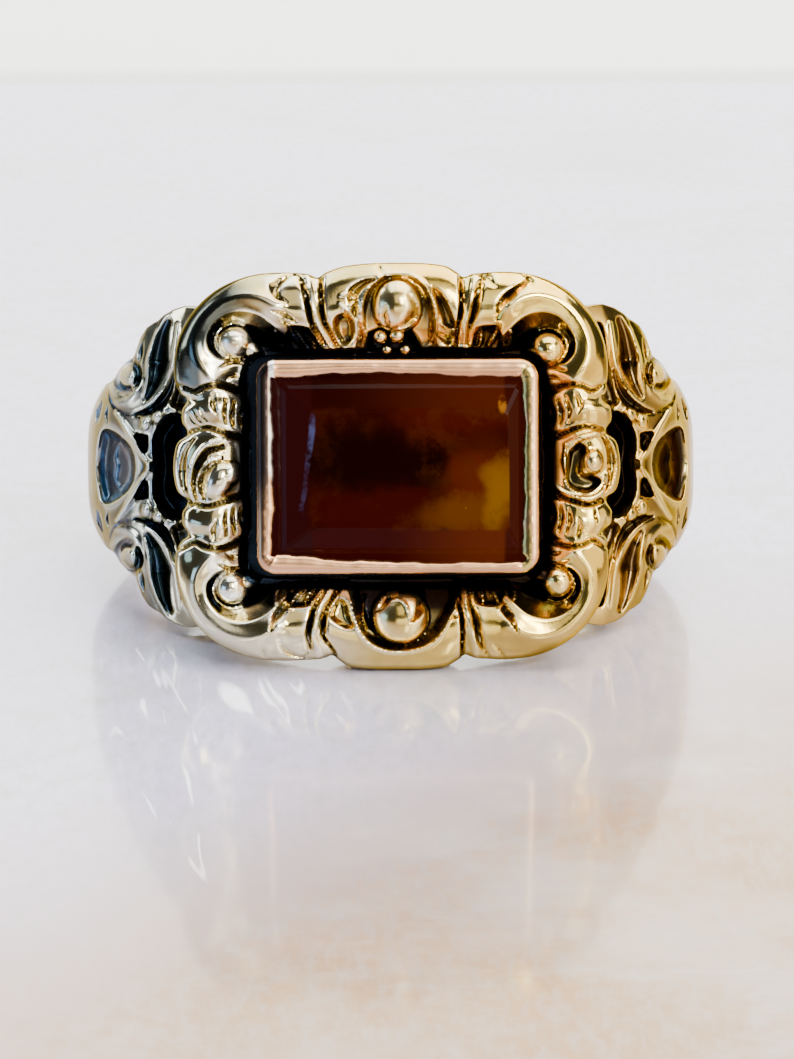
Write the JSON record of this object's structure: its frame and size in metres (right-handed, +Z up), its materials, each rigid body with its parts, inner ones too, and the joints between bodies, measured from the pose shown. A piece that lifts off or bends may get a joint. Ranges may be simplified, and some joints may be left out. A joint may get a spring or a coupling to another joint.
{
  "type": "gemstone ring",
  "caption": "Antique-style gold ring with a rectangular step-cut stone in a rose gold box setting and a scroll frame, lying on its side.",
  "frame": {"origin": "middle of the part's outline at the surface it lies on", "axes": "+Z up from that surface, the head with its stone faces -Y, X across the finger; the finger hole's axis leans 13 degrees from +Z towards +Y"},
  "size_m": [0.022, 0.0246, 0.0132],
  "materials": {
    "yellow_gold": "polished, blackened in the recesses",
    "rose_gold": "polished, hand burnished lip",
    "amber_stone": "polished facets, deep red-brown with an amber glow"
  },
  "bodies": {
    "root": {"ring_body": "yellow_gold", "bezel": "rose_gold", "stone": "amber_stone"}
  },
  "joints": []
}
